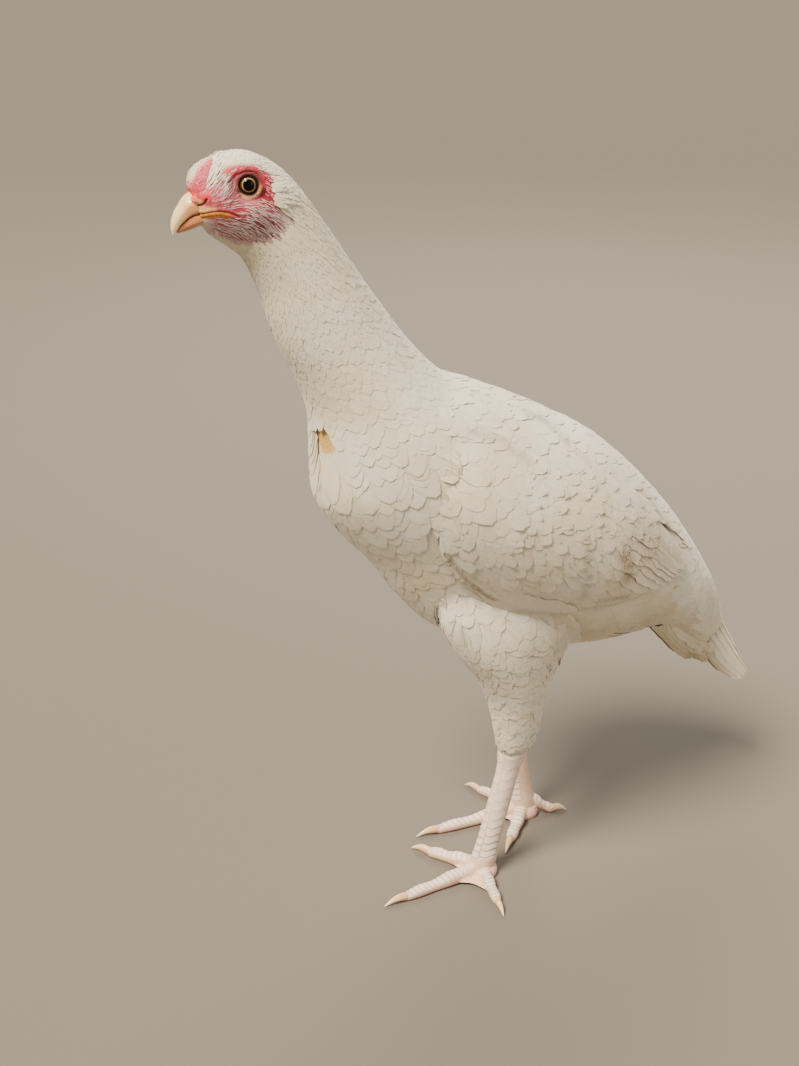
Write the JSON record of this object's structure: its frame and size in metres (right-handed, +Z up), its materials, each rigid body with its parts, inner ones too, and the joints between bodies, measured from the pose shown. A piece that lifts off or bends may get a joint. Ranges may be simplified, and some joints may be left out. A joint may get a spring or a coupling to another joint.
{
  "type": "hen figure",
  "caption": "Life-size standing hen of a tall game breed, still, alert, one foot ahead of the other, with folded wings and a low tail.",
  "frame": {"origin": "on the floor, under the middle of the whole hen's outline seen from above", "axes": "+Z up, -X the way the hen faces, -Y its left side"},
  "size_m": [0.4387, 0.1634, 0.5193],
  "materials": {
    "white_feathers": "matt",
    "face_skin": "satin",
    "comb_skin": "satin",
    "bill_and_claw_horn": "satin",
    "leg_scales": "satin",
    "amber_eye": "glossy"
  },
  "bodies": {
    "root": {"neck": "white_feathers", "torso": "white_feathers", "tail": "white_feathers", "wing_left": "white_feathers", "wing_right": "white_feathers", "thigh_left": "white_feathers", "thigh_right": "white_feathers", "head": "face_skin", "comb": "comb_skin", "bill_upper": "bill_and_claw_horn", "bill_lower": "bill_and_claw_horn", "eye_left": "amber_eye", "eye_right": "amber_eye", "shank_left": "leg_scales", "toe_left_hallux": "leg_scales", "claw_left_hallux": "bill_and_claw_horn", "toe_left_inner": "leg_scales", "claw_left_inner": "bill_and_claw_horn", "toe_left_middle": "leg_scales", "claw_left_middle": "bill_and_claw_horn", "toe_left_outer": "leg_scales", "claw_left_outer": "bill_and_claw_horn", "shank_right": "leg_scales", "toe_right_hallux": "leg_scales", "claw_right_hallux": "bill_and_claw_horn", "toe_right_inner": "leg_scales", "claw_right_inner": "bill_and_claw_horn", "toe_right_middle": "leg_scales", "claw_right_middle": "bill_and_claw_horn", "toe_right_outer": "leg_scales", "claw_right_outer": "bill_and_claw_horn"}
  },
  "joints": []
}
